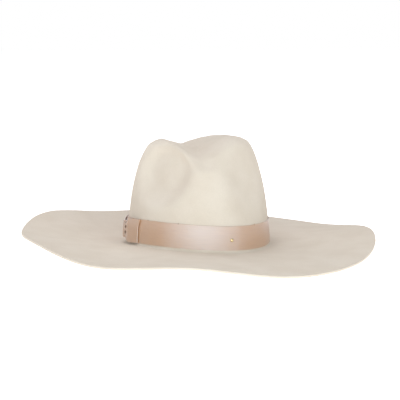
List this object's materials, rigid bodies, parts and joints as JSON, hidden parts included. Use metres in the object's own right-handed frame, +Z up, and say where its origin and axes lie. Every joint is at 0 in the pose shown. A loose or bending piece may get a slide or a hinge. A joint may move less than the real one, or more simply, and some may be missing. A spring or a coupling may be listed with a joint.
{
  "type": "wide-brimmed felt hat",
  "caption": "Wide-brimmed cream felt hat with a creased, pinched crown, a tan ribbon band with a side bow and a small stud, and a sweatband and lining inside.",
  "frame": {"origin": "centre of the head opening, level with the bend where the crown turns into the brim", "axes": "+Z up through the crown, -Y the wearer's front, +X the wearer's left"},
  "size_m": [0.4269, 0.4537, 0.1388],
  "materials": {
    "wool_felt": "matte blocked wool felt",
    "grosgrain_ribbon": "ribbed ribbon with a satin sheen",
    "tan_thread": "sewing thread",
    "pale_brass": "polished",
    "sweatband_leather": "smooth sweatband leather",
    "reed_plastic": "extruded cord",
    "cotton_tape": "woven cotton tape",
    "cream_thread": "sewing thread",
    "narrow_ribbon": "narrow satin ribbon",
    "woven_label": "blank woven label",
    "satin_lining": "glossy satin",
    "satin_piping": "covered cord"
  },
  "bodies": {
    "root": {"felt_body": "wool_felt", "hatband_ribbon": "grosgrain_ribbon", "bow_loops": "grosgrain_ribbon", "bow_keeper": "grosgrain_ribbon", "bow_tail": "grosgrain_ribbon", "ribbon_tacks": "tan_thread", "band_stud": "pale_brass", "stud_washer": "pale_brass", "sweatband": "sweatband_leather", "sweatband_reed": "reed_plastic", "reed_tape": "cotton_tape", "sweatband_stitching": "cream_thread", "sweatband_joint_cover": "sweatband_leather", "sweatband_bow": "narrow_ribbon", "size_tab": "woven_label", "lining_side": "satin_lining", "lining_tip": "satin_lining", "lining_piping": "satin_piping"}
  },
  "joints": []
}
